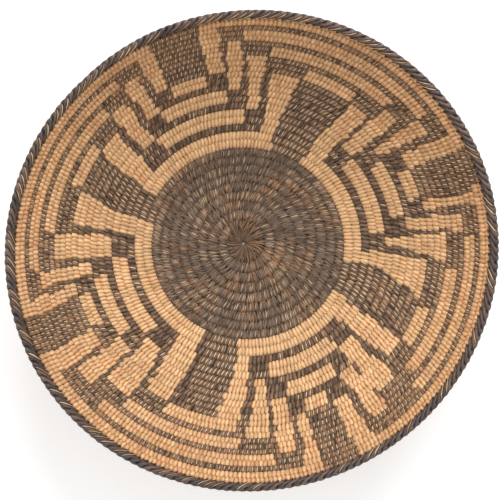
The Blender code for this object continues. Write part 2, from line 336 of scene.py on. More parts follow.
# What a splint's age is made of, its stains' scale, and how rough and how deep its grain is
AGED_BY_WARMTH, AGED_BY_BLOTCHES, AGED_BY_STAINS = 0.6, 0.8, 0.2
STAIN_SCALE, STAIN_DETAIL = 60.0, 3.0
ROUGHER_IN_VALLEYS = 0.4
SMOOTHER, ROUGHER = -0.08, 0.14
SPLINT_GRAIN_STRENGTH, SPLINT_GRAIN_DEPTH = 0.35, 0.0004

# The bundle's stems: scale and detail of their grain, where it frays, and how rough and deep it is
STEM_SCALE, STEM_DETAIL = 900.0, 3.0
FRAY_BAND = (0.35, 0.7)
STEM_ROUGHNESS, STEM_SMOOTHER = 0.85, 0.2
STEM_GRAIN_STRENGTH, STEM_GRAIN_DEPTH = 0.6, 0.0005
STEM_SPECULAR = 0.25

# The picture, the floor, and the soft lights round the tray: name, place, watts and width
WHITE = (1.0, 1.0, 1.0, 1.0)
FLOOR_GREY = (0.86, 0.86, 0.86, 1.0)
FLOOR_GLOW = 0.3
FLOOR_ROUGHNESS, FLOOR_SPECULAR = 0.9, 0.1
FLOOR_HALF_WIDTH = 12.0
FLOOR_DROP = 0.0005
IMAGE_POINTS = 500
SENSOR_WIDTH = 36.0
FARTHEST_SEEN = 50.0
STUDIO_LIGHTS = (
    ("large_light", (0.4, 2.2, 1.8), 68.0, 2.2),
    ("filling_light", (-1.8, -0.6, 2.2), 10.0, 2.0),
)

# Columns of a stitch
TURN, SPACING, PALE, ROW = range(4)


def random_numbers(purpose, *counts):
    """Evenly spread random numbers from 0 to 1 in rows and columns, the same each time for a purpose."""
    return np.random.default_rng((SEED, purpose)).random(counts)


def spread(least_and_spread, amount):
    """A value that grows from its least by a share of its spread."""
    least, more = least_and_spread
    return least + more * amount


class TrayShape(bpy.types.PropertyGroup):
    """Sizes of the winding"""

    round_at_start: bpy.props.FloatProperty(
        name="Round at the start", description="Distance between the first rounds", default=0.0088,
        unit="LENGTH")
    round_at_rim: bpy.props.FloatProperty(
        name="Round at the rim", description="Distance the rounds ease to", default=0.0056, unit="LENGTH")
    rounds_to_ease: bpy.props.FloatProperty(
        name="Rounds to ease", description="Rounds over which the distance eases", default=13.0)
    base_rounds: bpy.props.IntProperty(
        name="Base rounds", description="Rounds of the dark centre", default=9)
    wall_rounds: bpy.props.IntProperty(
        name="Wall rounds", description="Rounds that carry the fret", default=22)
    flat_rounds: bpy.props.FloatProperty(
        name="Flat rounds", description="Rounds before the wall starts to climb", default=4.0)
    rim_slope: bpy.props.FloatProperty(
        name="Rim slope", description="Steepness of the wall at the rim", default=math.radians(54.0),
        subtype="ANGLE")
    knot_radius: bpy.props.FloatProperty(
        name="Knot radius", description="Radius of the knot in the middle",
        default=(KNOT_HIGH.x - KNOT_LOW.x) / 2, unit="LENGTH")
    braid_thickness: bpy.props.FloatProperty(
        name="Braid thickness", description="Thickness of the braided edge",
        default=BRAID_HIGH.z - BRAID_LOW.z, unit="LENGTH")
    start_angle: bpy.props.FloatProperty(
        name="Start angle", description="Direction in which the bundle starts, in degrees", default=135.0)
    out_of_round: bpy.props.FloatProperty(
        name="Out of round", description="Share by which the rim is longer one way", default=0.0128)
    long_way: bpy.props.FloatProperty(
        name="Long way", description="Direction in which the rim is longest, in degrees", default=14.6)
    middle_oval: bpy.props.FloatProperty(
        name="Middle oval", description="Share by which the middle rounds are longer one way",
        default=0.014)
    knot_left: bpy.props.FloatProperty(
        name="Knot to the left", description="How far the knot lies to the left of the axis", default=0.0017,
        unit="LENGTH")
    knot_up: bpy.props.FloatProperty(
        name="Knot up", description="How far the knot lies up from the axis", default=0.0012, unit="LENGTH")
    floor_share: bpy.props.FloatProperty(
        name="Floor share", description="Height of a flat round's middle over the floor, in rounds",
        default=0.55)


class TraySewing(bpy.types.PropertyGroup):
    """Sizes of the splints and the braid's strands"""

    splint_at_start: bpy.props.FloatProperty(
        name="Splint at the start", description="Stitch spacing at the knot", default=0.0027, unit="LENGTH")
    splint_at_rim: bpy.props.FloatProperty(
        name="Splint at the rim", description="Stitch spacing at the rim", default=0.0035, unit="LENGTH")
    dark_spacing: bpy.props.FloatProperty(
        name="Dark spacing", description="Spacing of dark stitches against pale ones", default=1.10)
    centre_spacing: bpy.props.FloatProperty(
        name="Centre spacing", description="Spacing of the centre's fine stitches against others",
        default=0.50)
    pale_crown: bpy.props.FloatProperty(
        name="Pale crown", description="How far the middle of a pale splint stands over its edges",
        default=0.0003, unit="LENGTH")
    dark_crown: bpy.props.FloatProperty(
        name="Dark crown", description="How far the middle of a dark splint stands over its edges",
        default=0.0003, unit="LENGTH")
    pale_lean: bpy.props.FloatProperty(
        name="Pale lean", description="How far a pale stitch leans over its round",
        default=math.radians(8.0), subtype="ANGLE")
    dark_lean: bpy.props.FloatProperty(
        name="Dark lean", description="How far a dark stitch leans over its round",
        default=math.radians(13.0), subtype="ANGLE")
    sliver_lean: bpy.props.FloatProperty(
        name="Sliver lean", description="How far a pale sliver leans over its round",
        default=math.radians(17.0), subtype="ANGLE")
    knot_stitches: bpy.props.IntProperty(
        name="Knot stitches", description="Long stitches that meet in the middle", default=78)
    sliver_width: bpy.props.FloatProperty(
        name="Sliver width", description="Width of a pale edge between dark stitches", default=0.0015,
        unit="LENGTH")
    sliver_share: bpy.props.FloatProperty(
        name="Sliver share", description="Share of the braid's strands with a pale sliver beside them",
        default=0.46)
    braid_sliver_width: bpy.props.FloatProperty(
        name="Braid sliver width", description="Width of a pale sliver between two strands", default=0.0017,
        unit="LENGTH")
    braid_strands: bpy.props.IntProperty(
        name="Braid strands", description="Strands of the braided edge", default=186)
    strand_width: bpy.props.FloatProperty(
        name="Strand width", description="Width of a braid strand along the rim", default=0.0064,
        unit="LENGTH")
    strand_reach: bpy.props.FloatProperty(
        name="Strand reach", description="How far a strand leans along the rim, each way", default=0.0056,
        unit="LENGTH")


class TrayColours(bpy.types.PropertyGroup):
    """Colours of the splints"""

    pale: bpy.props.FloatVectorProperty(
        name="Pale splint", description="Tan of the pale splints", default=(0.745, 0.47, 0.244), size=3,
        subtype="COLOR")
    # Golden is also the colour that pale splints turn to in the pits, as painted shade
    golden: bpy.props.FloatVectorProperty(
        name="Golden splint", description="Warmer tan of some splints", default=(0.64, 0.33, 0.155), size=3,
        subtype="COLOR")
    dark: bpy.props.FloatVectorProperty(
        name="Dark splint", description="Grey brown of the dark splints", default=(0.18, 0.118, 0.08), size=3,
        subtype="COLOR")
    worn: bpy.props.FloatVectorProperty(
        name="Worn dark splint", description="Brown of worn dark splints", default=(0.3, 0.168, 0.09), size=3,
        subtype="COLOR")
    centre: bpy.props.FloatVectorProperty(
        name="Centre splint", description="Grey of the centre's dark splints", default=(0.152, 0.109, 0.079),
        size=3, subtype="COLOR")
    worn_centre: bpy.props.FloatVectorProperty(
        name="Worn centre splint", description="Orange brown of worn splints in the centre",
        default=(0.37, 0.185, 0.085), size=3, subtype="COLOR")
    sliver: bpy.props.FloatVectorProperty(
        name="Sliver", description="Cream of the slivers between dark stitches", default=(0.7, 0.49, 0.3),
        size=3, subtype="COLOR")
    # Worn sliver is also the colour that slivers turn to in the pits, as painted shade
    worn_sliver: bpy.props.FloatVectorProperty(
        name="Worn sliver", description="Brown of worn slivers", default=(0.5, 0.29, 0.15), size=3,
        subtype="COLOR")
    # The bundle's dark brown also stands for the shade in the gaps between stitches: painted shade
    bundle: bpy.props.FloatVectorProperty(
        name="Bundle", description="Brown of the bundle between the stitches", default=(0.14, 0.08, 0.045),
        size=3, subtype="COLOR")
    fray: bpy.props.FloatVectorProperty(
        name="Fray", description="Lighter brown of the bundle's frayed stems", default=(0.24, 0.14, 0.08),
        size=3, subtype="COLOR")
    braid: bpy.props.FloatVectorProperty(
        name="Braid", description="Blue black of the braided edge", default=(0.045, 0.033, 0.031), size=3,
        subtype="COLOR")
    worn_braid: bpy.props.FloatVectorProperty(
        name="Worn braid", description="Brown black of worn strands", default=(0.125, 0.078, 0.054), size=3,
        subtype="COLOR")


class TrayStudio(bpy.types.PropertyGroup):
    """The camera and the light"""

    camera_distance: bpy.props.FloatProperty(
        name="Camera distance", description="Distance from the lens to the rim", default=2.0, unit="LENGTH")
    rim_pixels: bpy.props.FloatProperty(
        name="Rim in the picture", description="Mean radius of the rim in picture points", default=244.7)
    rim_middle: bpy.props.FloatVectorProperty(
        name="Rim's middle", description="Middle of the rim in the picture", default=(253.2, 251.8), size=2)
    base_middle: bpy.props.FloatVectorProperty(
        name="Base's middle", description="Foot of the axis in the picture", default=(245.6, 245.3), size=2)
    world_strength: bpy.props.FloatProperty(
        name="World strength", description="Strength of the even light from all round", default=0.76)


def settings(context):
    """The four groups of settings."""
    scene = context.scene
    return scene.tray_shape, scene.tray_sewing, scene.tray_colours, scene.tray_studio


class Winding:
    """Where the rounds of the tray lie, worked out from its shape."""

    def __init__(self, shape):
        self.shape = shape
        self.last_turn = shape.base_rounds + shape.wall_rounds
        steps = (self.last_turn + OUTER_TURNS + INNER_TURNS) * TABLE_STEPS
        self.turns = np.arange(steps + 1) / TABLE_STEPS - INNER_TURNS
        length = self.pitch(self.turns) / TABLE_STEPS
        slope = self.slope(self.turns)
        out = np.concatenate([[0.0], np.cumsum(length * np.cos(slope))[:-1]])
        knot_side = 0.5 - TAPER_TIP
        start = shape.knot_radius + SEAT_GAP - knot_side * shape.round_at_start
        self.radii = out - out[INNER_TURNS * TABLE_STEPS] + start
        self.rises = np.concatenate([[0.0], np.cumsum(length * np.sin(slope))[:-1]])

    def pitch(self, turn):
        """Distance from one round to the next."""
        shape = self.shape
        eased = np.exp(-np.maximum(turn, 0.0) / shape.rounds_to_ease)
        return shape.round_at_rim + (shape.round_at_start - shape.round_at_rim) * eased

    def slope(self, turn):
        """Steepness of the wall at a turn."""
        flat = self.shape.flat_rounds
        climbing = np.clip((turn - flat) / (self.last_turn - flat), 0.0, 1.0)
        return self.shape.rim_slope * np.sin(math.pi / 2 * climbing)

    def radius(self, turn):
        """Distance of a round's middle from the tray's axis."""
        return np.interp(turn, self.turns, self.radii)

    def fret_angle(self, turn):
        """Direction of a stitch in degrees, as the fret's angles give it, read from a little aside."""
        x, y, up = self.lay(FULL_TURN * turn, turn, 0.0)
        x = x + self.shape.knot_left
        y = y - self.shape.knot_up
        up = up - self.shape.knot_radius / 2
        return math.degrees(math.atan2(y + up * READ_ASIDE[1], x + up * READ_ASIDE[0])) % FULL_TURN

    def rim_edge(self, turn):
        """Outer edge of the last round, in rounds: level, but for the step where the bundle runs out."""
        share = np.clip(turn - (self.last_turn - 1), 0.0, 1.0)
        risen = np.clip(share / RIM_RISES_OVER, 0.0, 1.0) * np.clip((1 - share) / RIM_FALLS_OVER, 0.0, 1.0)
        return self.last_turn - 0.5 + TAPER_TIP * np.sin(math.pi / 2 * risen)

    def edges(self, turn):
        """Inner and outer edge of the bundle at a turn, in rounds: it starts thin and ends thin."""
        inner = np.maximum(turn - 0.5, 0.5 - TAPER_TIP + TAPER_TIP * turn)
        return inner, np.minimum(turn + 0.5, self.rim_edge(turn))

    def lay(self, around, turn, lift):
        """Points of the tray: degrees around it, rounds out along the wall, and metres off the wall."""
        shape = self.shape
        slope = self.slope(turn)
        radius = self.radius(turn) - lift * np.sin(slope)
        middle = shape.floor_share * self.pitch(turn) + np.interp(turn, self.turns, self.rises)
        up = middle + lift * np.cos(slope)
        angle = np.radians(around + shape.start_angle)
        share = np.clip(turn / self.last_turn, 0.0, None)
        grown = np.sin(math.pi / 2 * np.clip(turn / ASIDE_ROUNDS, 0.0, 1.0)) ** 2
        below_rim = np.sin(math.pi / 2 * np.clip((1 - share) / MIDDLE_OVAL_FALLS_OVER, 0.0, 1.0)) ** 2
        along_rim = np.cos(2 * (angle - math.radians(shape.long_way)))
        along_middle = np.cos(2 * (angle - math.radians(MIDDLE_LONG_WAY)))
        at_rim = shape.out_of_round * share ** RIM_OVAL_POWER * along_rim
        at_middle = shape.middle_oval * grown * below_rim * along_middle
        radius = radius * (1 + at_rim + at_middle)
        x = radius * np.cos(angle) - shape.knot_left * (1 - grown)
        y = radius * np.sin(angle) + shape.knot_up * (1 - grown)
        return np.stack([x, y, up + np.zeros_like(x)], axis=-1)


def light_spans(row):
    """Spans of degrees that are pale in a row of the fret."""
    spans = []
    for line in range(len(LIGHT_ARCS)):
        foot = LINE_STEP * line + 1
        top = foot + ARC_ROUNDS + LEG_ROUNDS
        if foot <= row < foot + ARC_ROUNDS:
            spans += LIGHT_ARCS[line]
        elif foot + ARC_ROUNDS <= row < top:
            share = (row - foot - ARC_ROUNDS) / (LEG_ROUNDS - 1)
            for low_top, high_top, low_foot, high_foot in LIGHT_LEGS[line]:
                low = low_foot + share * (low_top - low_foot)
                high = high_foot + share * (high_top - high_foot)
                spans.append((low, high))
        elif top <= row < top + ARC_ROUNDS:
            spans += LIGHT_STRIPS[line]
    return spans


def fret_row(turn, shape):
    """Row of the fret at a turn of the spiral, under 1 in the centre. It steps where that shows least."""
    row = math.floor(turn) - shape.base_rounds + 1
    past_start = FULL_TURN * (turn % 1.0)
    if row <= JOG_ROUND and past_start < LOW_JOG_ANGLE - shape.start_angle:
        row -= 1
    if row > JOG_ROUND and past_start >= FULL_TURN + HIGH_JOG_ANGLE - shape.start_angle:
        row += 1
    return min(row, FRET_ROUNDS)


def is_pale(row, angle, spans):
    """Whether a stitch of a row is pale."""
    ways = (angle - FULL_TURN, angle, angle + FULL_TURN)
    return any(low <= way < high for low, high in spans.get(row, ()) for way in ways)


def sew_along(winding, sewing):
    """Turn, spacing, paleness and row of every stitch, one after the other along the spiral."""
    spans = {row: light_spans(row) for row in range(1, FRET_ROUNDS + 1)}
    last_turn = winding.last_turn
    turn = 1.0
    stitches = []
    while turn < last_turn:
        spacing = sewing.splint_at_start
        spacing += (sewing.splint_at_rim - sewing.splint_at_start) * turn / last_turn
        row = fret_row(turn, winding.shape)
        pale = is_pale(row, winding.fret_angle(turn), spans)
        if not pale:
            spacing *= sewing.dark_spacing if row >= 1 else sewing.centre_spacing
        stitches.append((turn, spacing, pale, row))
        turn += spacing / (2 * math.pi * float(winding.radius(turn)))
    return np.array(stitches)


def as_mesh(drawn, name):
    """A finished shape as a mesh."""
    mesh = bpy.data.meshes.new(name)
    drawn.to_mesh(mesh)
    drawn.free()
    return mesh


def splint_shape():
    """One splint as a closed ring with a three-sided section. Its points are laid in their places later."""
    drawn = bmesh.new()
    stand = Matrix.Translation((1.0, 0.0, 0.0)) @ Matrix.Rotation(math.pi / 2, 4, "X")
    stand = stand @ Matrix.Rotation(-math.pi / 2, 4, "Z")
    section = bmesh.ops.create_circle(drawn, segments=SECTION_POINTS, radius=0.2, matrix=stand)["verts"]
    edges = list({edge for vert in section for edge in vert.link_edges})
    bmesh.ops.spin(drawn, geom=section + edges, cent=(0, 0, 0), axis=(0, 0, 1), angle=2 * math.pi,
                   steps=PATH_POINTS, use_merge=True)
    bmesh.ops.recalc_face_normals(drawn, faces=drawn.faces)
    return as_mesh(drawn, "splint")


def copies_of(shape, count, name):
    """A mesh of so many copies of a small shape."""
    drawn = bmesh.new()
    for _ in range(count):
        drawn.from_mesh(shape)
    bpy.data.meshes.remove(shape)
    return as_mesh(drawn, name)


def start_tube(steps):
    """A flat grid to lay a tube with, and each point's share along the tube and angle round it."""
    drawn = bmesh.new()
    bmesh.ops.create_grid(drawn, x_segments=steps, y_segments=BUNDLE_SIDES, size=0.5)
    flat = np.array([vert.co for vert in drawn.verts])
    return drawn, flat[:, 0] + 0.5, 2 * math.pi * (flat[:, 1] + 0.5)


def close_tube(drawn, places, name):
    """Lays a grid's points in their places and closes it to a tube."""
    for vert, place in zip(drawn.verts, places):
        vert.co = place
    bmesh.ops.remove_doubles(drawn, verts=drawn.verts, dist=SAME_POINT)
    bmesh.ops.holes_fill(drawn, edges=[edge for edge in drawn.edges if edge.is_boundary])
    bmesh.ops.recalc_face_normals(drawn, faces=drawn.faces)
    return as_mesh(drawn, name)


def write_shades(mesh, **shades):
    """Keeps numbers on the mesh's points for its material to read."""
    for name, values in shades.items():
        layer = mesh.attributes.new(name, "FLOAT", "POINT")
        layer.data.foreach_set("value", np.ascontiguousarray(values, dtype=np.float32).ravel())


def finish_piece(mesh, material, slot, *nodes):
    """Puts a finished mesh in the scene under its own name, as a piece that stands for its nodes."""
    piece = bpy.data.objects.new(mesh.name, mesh)
    bpy.context.scene.collection.objects.link(piece)
    mesh.materials.append(bpy.data.materials[material])
    mesh.shade_smooth()
    if nodes:
        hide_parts(*nodes)
    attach(piece, "root")


def lay_splints(name, winding, around, wall, lift, aside, half_width, crown, tone, warmth, valley):
    """Splints laid along their paths, a row for each splint and a column for each point of its path.

    around is in degrees, wall in rounds, and lift, aside, half_width and crown in metres. tone, warmth and
    valley are what the finish reads. Each splint is rounded up to its crown."""
    count, points = wall.shape
    mesh = copies_of(splint_shape(), count, name)
    pitch = winding.pitch(wall[:, :1])
    out_step = (np.roll(wall, -1, axis=1) - np.roll(wall, 1, axis=1)) * pitch
    up_step = np.roll(lift, -1, axis=1) - np.roll(lift, 1, axis=1)
    step = np.maximum(np.hypot(out_step, up_step), LEAST_STEP)
    radius = np.maximum(np.abs(winding.radius(wall)), LEAST_RADIUS)
    places = np.zeros((count, points, SECTION_POINTS, 3))
    for corner, (sideways, height, _) in enumerate(SECTION):
        along_round = np.degrees((aside + sideways * half_width) / radius)
        raised_wall = wall + height * crown * up_step / step / pitch
        raised_lift = lift - height * crown * out_step / step
        places[:, :, corner] = winding.lay(around + along_round, raised_wall, raised_lift)
    mesh.vertices.foreach_set("co", places.astype(np.float32).ravel())
    every_point = places.shape[:3]
    along = np.broadcast_to((np.arange(points) / points)[None, :, None], every_point)
    across = np.broadcast_to(np.array([corner[2] for corner in SECTION]), every_point)
    deep = np.broadcast_to(np.broadcast_to(valley, wall.shape)[..., None], every_point)
    each = points * SECTION_POINTS
    write_shades(mesh, along=along, across=across, valley=deep, tone=np.repeat(tone, each),
                 warmth=np.repeat(np.clip(warmth, 0.0, 1.0), each))
    mesh.update()
    return mesh


def drift(around, turn, purpose):
    """A slow change from place to place on the tray, from -1 to 1."""
    total = 0.0
    for order, (start, along, size) in enumerate(random_numbers(purpose, DRIFT_WAVES, 3)):
        swing = np.radians(around) * (order + 2) + 2 * math.pi * start
        total = total + np.sin(swing + turn * spread(DRIFT_TURN, along)) * spread(DRIFT_SIZE, size)
    return np.clip(total, -1.0, 1.0)


def depth_of(height):
    """How deep in the valleys each point of a path lies, from 0 on the round's top to 1."""
    return 1 - np.abs(height) / 0.5


def sew_round(name, winding, stitches, draw, crown, lean, stray, width_share, fullness=1.0, widths=None):
    """Stitches round the bundle, from their turn, spacing, paleness and row.

    crown and lean are a stitch's own, stray is how far it leaves the even lay, and width_share how wide it is
    against its spacing. fullness is its colour's, and widths are its widths along the path."""
    turn, spacing, _, row = stitches.T
    jitter = random_numbers(draw, 7, len(turn), 1)
    across, height, width = np.array(STITCH_PATH).T
    width = width if widths is None else np.array(widths)
    inner, outer = winding.edges(turn)
    middle = ((inner + outer) / 2)[:, None]
    share = (outer - inner)[:, None]
    across = across + (jitter[0] - 0.5) * ACROSS_SPREAD
    wall = middle + np.clip(across, -0.5, 0.5) * share + np.minimum(across + 0.5, 0.0)
    pitch = winding.pitch(turn)[:, None]
    lift = height * pitch * share ** THIN_BUNDLE_POWER
    step = np.degrees(spacing / winding.radius(turn))[:, None]
    around = (FULL_TURN * turn)[:, None] + (jitter[1] - 0.5) * AROUND_SPREAD * stray * step
    patchy = drift(FULL_TURN * turn, turn, draw)
    row_lean = lean * (np.interp(row, LEAN_ROWS, LEAN_SHARES) + PATCHY_LEAN * patchy)[:, None]
    aside = -np.tan(row_lean + (jitter[2] - 0.5) * stray) * (wall - middle) * pitch
    half_width = spacing[:, None] / 2 * width_share[:, None] * spread(STITCH_WIDTH, jitter[3]) * width
    crown = crown * spread(STITCH_CROWN, jitter[4]) * width
    tone = fullness + spread(TONE_BY_STITCH, stray) * (jitter[5, :, 0] - 0.5)
    tone = tone + spread(TONE_BY_PATCH, stray) * patchy - TONE_FALL * np.maximum(row - TONE_FALL_FROM, 0.0)
    warm_patches = spread(WARMTH_BY_PATCH, stray) * drift(FULL_TURN * turn, turn, draw + WARMTH_DRAW_AFTER)
    warmth = WARMTH + WARMTH_BY_STITCH * (jitter[6, :, 0] - 0.5) + warm_patches
    warmth = warmth + WARMTH_RISE * np.maximum(row - WARMTH_RISE_FROM, WARMTH_RISE_LEAST)
    around = around + np.zeros_like(wall)
    valley = depth_of(height)
    return lay_splints(name, winding, around, wall, lift, aside, half_width, crown, tone, warmth, valley)


def off_centre(angle, centres):
    """Least distance in degrees from an angle to any of the centres."""
    apart = (angle[:, None] - np.array(centres)[None, :] + FULL_TURN / 2) % FULL_TURN - FULL_TURN / 2
    return np.abs(apart).min(axis=1)


def choose_slivers(winding, stitches):
    """Which dark stitches leave a pale sliver beside them: most in the blocks and petals, fewer elsewhere."""
    turn, _, pale, row = stitches.T
    angle = (winding.shape.start_angle + FULL_TURN * turn) % FULL_TURN
    in_petal = (row <= JOG_ROUND) & (off_centre(angle, PETAL_CENTRES) < FIGURE_HALF_WIDTH)
    in_block = (row > JOG_ROUND) & (off_centre(angle, BLOCK_CENTRES) < FIGURE_HALF_WIDTH)
    clustered = drift(angle, turn, CLUSTER_DRAW)
    chance = np.where(row > JOG_ROUND, UPPER_CHANCE, spread(LOWER_CHANCE, clustered))
    chance = np.where(in_petal, PETAL_CHANCE, chance)
    chance = np.where(in_block, BLOCK_CHANCE, chance)
    chance = np.where(row < 1, spread(CENTRE_CHANCE, clustered), chance)
    return (pale < 0.5) & (random_numbers(SLIVER_CHOICE_DRAW, len(turn)) < chance)


def in_quarter(winding, stitches, quarter):
    """Which stitches of the wall lie in a quarter of the fret."""
    turn, _, _, row = stitches.T
    start = QUARTER_STARTS[quarter]
    end = (*QUARTER_STARTS, QUARTER_STARTS[0] + FULL_TURN)[quarter + 1]
    angle = (winding.shape.start_angle + FULL_TURN * turn - start) % FULL_TURN
    return (row >= 1) & (angle < end - start)


class Value:
    """A value in a material: a sum, difference or product of values adds its Math node."""

    def __init__(self, finish, socket):
        self.finish = finish
        self.socket = socket

    def __add__(self, other):
        return self.finish.maths("ADD", self, other)

    def __sub__(self, other):
        return self.finish.maths("SUBTRACT", self, other)

    def __rsub__(self, other):
        return self.finish.maths("SUBTRACT", other, self)

    def __mul__(self, other):
        return self.finish.maths("MULTIPLY", self, other)

    __radd__ = __add__
    __rmul__ = __mul__


class Finish:
    """A material or world while its nodes are being put together."""

    def __init__(self, owner):
        self.owner = owner
        owner.use_nodes = True
        self.tree = owner.node_tree
        self.tree.nodes.clear()

    def node(self, kind, options=None, inputs=None, output=0):
        """One node of any kind with its options and inputs, and one of its outputs as a value."""
        made = self.tree.nodes.new(kind)
        for name, value in (options or {}).items():
            setattr(made, name, value)
        for name, value in (inputs or {}).items():
            if isinstance(value, Value):
                self.tree.links.new(value.socket, made.inputs[name])
            else:
                made.inputs[name].default_value = value
        return Value(self, made.outputs[output]) if len(made.outputs) else None

    def maths(self, operation, *values):
        """One Math node on values or numbers."""
        return self.node("ShaderNodeMath", {"operation": operation}, dict(enumerate(values)))

    def kept(self, name):
        """A number kept on the piece's points."""
        return self.node("ShaderNodeAttribute", {"attribute_name": name}, output="Fac")

    def place(self, right, up, deep):
        """A place in a noise from three values."""
        return self.node("ShaderNodeCombineXYZ", inputs={"X": right, "Y": up, "Z": deep})

    def noise(self, vector, scale, detail):
        """Noise from 0 to 1 at a place."""
        return self.node("ShaderNodeTexNoise", inputs={"Vector": vector, "Scale": scale, "Detail": detail})

    def grain(self, across, along, one, other, fineness):
        """Noise drawn out along a splint, and unlike from splint to splint."""
        across_scale, along_scale, one_shift, other_shift, detail = fineness
        place = self.place(across * across_scale + one * one_shift, along * along_scale, other * other_shift)
        return self.noise(place, 1.0, detail)

    def own_place(self):
        """The place of a point in the piece's own frame."""
        return self.node("ShaderNodeTexCoord", output="Object")

    def stepped(self, value, low, high, first=0.0, last=1.0):
        """A smooth step from one value to another."""
        return self.node("ShaderNodeMapRange", {"interpolation_type": "SMOOTHSTEP"},
                         {"Value": value, "From Min": low, "From Max": high, "To Min": first, "To Max": last})

    def blend(self, factor, one, other):
        """One colour passing into another."""
        inputs = {0: factor, 6: (*one, 1.0), 7: (*other, 1.0)}
        return self.node("ShaderNodeMix", {"data_type": "RGBA"}, inputs, 2)

    def shaded(self, colour, factor):
        """A colour made lighter or darker by a factor."""
        return self.node("ShaderNodeVectorMath", {"operation": "SCALE"}, {0: colour, "Scale": factor})

    def surface(self, colour, roughness, height, height_strength, height_distance, specular):
        """Closes the material with one shader."""
        normal = self.node("ShaderNodeBump", inputs={
            "Strength": height_strength, "Distance": height_distance, "Height": height})
        shader = self.node("ShaderNodeBsdfPrincipled", inputs={
            "Base Color": colour, "Roughness": roughness, "Specular IOR Level": specular, "Normal": normal})
        self.node("ShaderNodeOutputMaterial", inputs={"Surface": shader})

    def plainly_seen(self):
        """1 for rays that show a thing straight, mirrored or through glass, and 0 for those that light it."""
        straight = self.node("ShaderNodeLightPath", output="Is Camera Ray")
        mirrored = self.node("ShaderNodeLightPath", output="Is Glossy Ray")
        passed = self.node("ShaderNodeLightPath", output="Is Transmission Ray")
        return self.maths("MAXIMUM", straight, self.maths("MAXIMUM", mirrored, passed))


def splint_finish(name, first, second, *, streak_depth, edge_shade, valley_shade, pit_shade, valley_warmth,
                  roughness, specular):
    """A split stem, scraped flat: fine streaks along it, and painted shade at its edges, in the valleys and
    in the pits between stitches.
    """
    finish = Finish(bpy.data.materials.new(name))
    along, across, valley = finish.kept("along"), finish.kept("across"), finish.kept("valley")
    tone, warmth = finish.kept("tone"), finish.kept("warmth")
    streaks = finish.grain(across, along, tone, warmth, STREAKS)
    blotches = finish.grain(across, along, warmth, tone, BLOTCHES)
    hairs = finish.grain(across, along, warmth, tone, HAIRS)
    stains = finish.stepped(finish.noise(finish.own_place(), STAIN_SCALE, STAIN_DETAIL), *STAIN_BAND)
    edge = finish.maths("ABSOLUTE", across - 0.5) * 2.0
    # Painted shade: the colour is darker at the splint's edges, in the valleys between rounds and in the pits
    # between stitches, where shade falls
    edge_painted_shade = finish.stepped(edge, *EDGE_BAND, 1.0, 1 - edge_shade)
    valley_painted_shade = finish.stepped(valley, *VALLEY_BAND, 1.0, 1 - valley_shade)
    pit_painted_shade = finish.stepped(edge * valley, *PIT_BAND, 1.0, 1 - pit_shade)
    aged = warmth * AGED_BY_WARMTH + blotches * AGED_BY_BLOTCHES + stains * AGED_BY_STAINS
    # In the pits, the colour also turns towards the second, darker colour by valley_warmth: painted shade
    colour = finish.blend(finish.stepped(aged + edge * valley * valley_warmth, *AGED_BAND), first, second)
    fibres = finish.stepped(streaks, *FIBRE_BAND, 1 - streak_depth / 2, 1 + streak_depth / 2)
    fine = 1 - streak_depth / 3 + hairs * (streak_depth * 2 / 3)
    colour = finish.shaded(colour, tone * edge_painted_shade * valley_painted_shade * pit_painted_shade * fibres * fine)
    rough = finish.stepped(streaks + valley * ROUGHER_IN_VALLEYS, *ROUGH_BAND, roughness + SMOOTHER,
                           roughness + ROUGHER)
    finish.surface(colour, rough, streaks, SPLINT_GRAIN_STRENGTH, SPLINT_GRAIN_DEPTH, specular)


def bundle_finish(name, first, second):
    """The bundle's own stems, brown and frayed, seen only in the gaps, where their dark brown is partly
    painted shade.
    """
    finish = Finish(bpy.data.materials.new(name))
    grain = finish.noise(finish.own_place(), STEM_SCALE, STEM_DETAIL)
    colour = finish.blend(finish.stepped(grain, *FRAY_BAND), first, second)
    rough = STEM_ROUGHNESS - grain * STEM_SMOOTHER
    finish.surface(colour, rough, grain, STEM_GRAIN_STRENGTH, STEM_GRAIN_DEPTH, STEM_SPECULAR)


def floor_finish(name):
    """A pale floor that looks white to the lens and still takes the tray's shadow."""
    finish = Finish(bpy.data.materials.new(name))
    shader = finish.node("ShaderNodeBsdfPrincipled", inputs={
        "Base Color": FLOOR_GREY, "Roughness": FLOOR_ROUGHNESS, "Specular IOR Level": FLOOR_SPECULAR,
        "Emission Color": WHITE, "Emission Strength": finish.plainly_seen() * FLOOR_GLOW})
    finish.node("ShaderNodeOutputMaterial", inputs={"Surface": shader})
    return finish.owner


def sewn(context):
    """Sizes of the sewing, the winding, and every stitch along it."""
    shape, sewing, _, _ = settings(context)
    winding = Winding(shape)
    return sewing, winding, sew_along(winding, sewing)


class TRAY_OT_wind_bundle(bpy.types.Operator):
    """Winds the bundle of stems in one spiral from the knot to the rim"""

    bl_idname = "tray.wind_bundle"
    bl_label = "Wind the bundle"

    def execute(self, context):
        shape, _, _, _ = settings(context)
        winding = Winding(shape)
        drawn, along, roll = start_tube(BUNDLE_STEPS * winding.last_turn)
        turn = along * winding.last_turn
        inner, outer = winding.edges(turn)
        lift = BUNDLE_HALF_HEIGHT * (outer - inner) * winding.pitch(turn) * np.sin(roll)
        wall = (inner + outer) / 2 + BUNDLE_HALF_WIDTH * (outer - inner) * np.cos(roll)
        mesh = close_tube(drawn, winding.lay(FULL_TURN * turn, wall, lift), "foundation_bundle")
        finish_piece(mesh, "bundle of stems", "pale_splint",
                     "base_coil", "lower_wall_coil", "middle_wall_coil", "upper_wall_coil")
        return {"FINISHED"}


